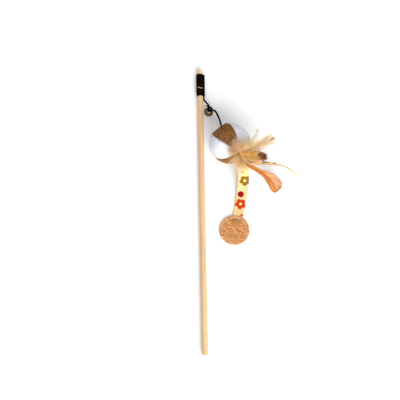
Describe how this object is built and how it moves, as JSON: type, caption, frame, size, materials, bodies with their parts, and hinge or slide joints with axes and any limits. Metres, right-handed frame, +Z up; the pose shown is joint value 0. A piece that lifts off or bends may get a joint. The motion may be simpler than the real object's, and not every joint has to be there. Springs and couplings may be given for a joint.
{
  "type": "cat teaser wand",
  "caption": "Wooden cat teaser wand with an elastic cord that carries a jingle bell, a felt ball with feathers, and a printed ribbon ending in a jute disc.",
  "frame": {"origin": "centre of the rod's butt end face", "axes": "+Y along the rod from the butt end to the tip, +X towards the side on which the toy lies, +Z up from the surface that the wand lies on"},
  "size_m": [0.1389, 0.406, 0.06],
  "materials": {
    "rod_wood": "natural, sanded, unvarnished",
    "binding": "tightly wound dark brown twine",
    "staple_steel": "dull, slightly bronzed wire",
    "cord": "black braid over elastic",
    "bell_brass": "bright, slightly worn",
    "pea_steel": "plain",
    "stuffing": "soft fibre",
    "brown_felt": "mottled felt",
    "white_felt": "smooth felt",
    "thread": "cotton thread",
    "broad_feather": "orange-tan with a pink cast",
    "striped_feather": "tan with dark bands",
    "curled_feather": "orange-tan with a dark brown tip",
    "golden_feather": "golden brown",
    "white_feather": "white with a pink cast",
    "down": "tan and grey fluff",
    "ribbon_tape": "cream tape with fine crosswise ribs and a print",
    "jute": "plain weave",
    "padding": "felted fibre"
  },
  "bodies": {
    "wand": {"rod": "rod_wood", "binding_core": "binding", "binding_twine": "binding", "staple": "staple_steel", "cord_anchor": "cord"},
    "lead": {"cord_upper": "cord", "knot": "cord"},
    "bell": {"bell_top": "bell_brass", "bell_bottom": "bell_brass", "bell_eye": "bell_brass"},
    "pea": {"bell_pea": "pea_steel"},
    "drop": {"cord_lower": "cord"},
    "ball": {"ball_core": "stuffing", "brown_gore_1": "brown_felt", "brown_gore_2": "brown_felt", "brown_gore_3": "brown_felt", "white_gore_1": "white_felt", "white_gore_2": "white_felt", "white_gore_3": "white_felt", "feather_tie": "thread", "feather_broad": "broad_feather", "feather_striped": "striped_feather", "feather_curled": "curled_feather", "plume_golden": "golden_feather", "plume_white": "white_feather", "down_tuft": "down"},
    "tail": {"ribbon": "ribbon_tape"},
    "disc": {"ribbon_tab": "ribbon_tape", "disc_front": "jute", "disc_pad": "padding", "disc_back": "jute", "disc_stitching": "thread"}
  },
  "joints": [
    {"name": "cord_swing", "type": "hinge", "parent": "wand", "child": "lead", "pos_m": [0.005, 0.3655, 0], "axis": [0, 0, 1], "range_deg": [0, 100]},
    {"name": "bell_swing", "type": "hinge", "parent": "lead", "child": "bell", "pos_m": [0.013, 0.3427, 0.00997], "axis": [-0.9761, 0.1372, 0.1685], "range_deg": [-25, 70]},
    {"name": "pea_rattle", "type": "slide", "parent": "bell", "child": "pea", "axis": [0.1669, -0.0234, 0.9857], "range_m": [0, 0.0062]},
    {"name": "cord_lift", "type": "hinge", "parent": "lead", "child": "drop", "pos_m": [0.0177, 0.34204, 0.00916], "axis": [-0.9273, -0.3743, 0], "range_deg": [-40, 75]},
    {"name": "ball_twist", "type": "hinge", "parent": "drop", "child": "ball", "pos_m": [0.02797, 0.30538, 0.00472], "axis": [0.4151, -0.6344, 0.6521], "range_deg": [-30, 20]},
    {"name": "tail_lift", "type": "hinge", "parent": "ball", "child": "tail", "pos_m": [0.05299, 0.26578, 0.04036], "axis": [-0.9532, -0.3024, 0], "range_deg": [-8, 22]},
    {"name": "disc_flap", "type": "hinge", "parent": "tail", "child": "disc", "pos_m": [0.04927, 0.19235, -0.0034], "axis": [-0.9677, 0.2521, 0], "range_deg": [-75, 85]}
  ]
}
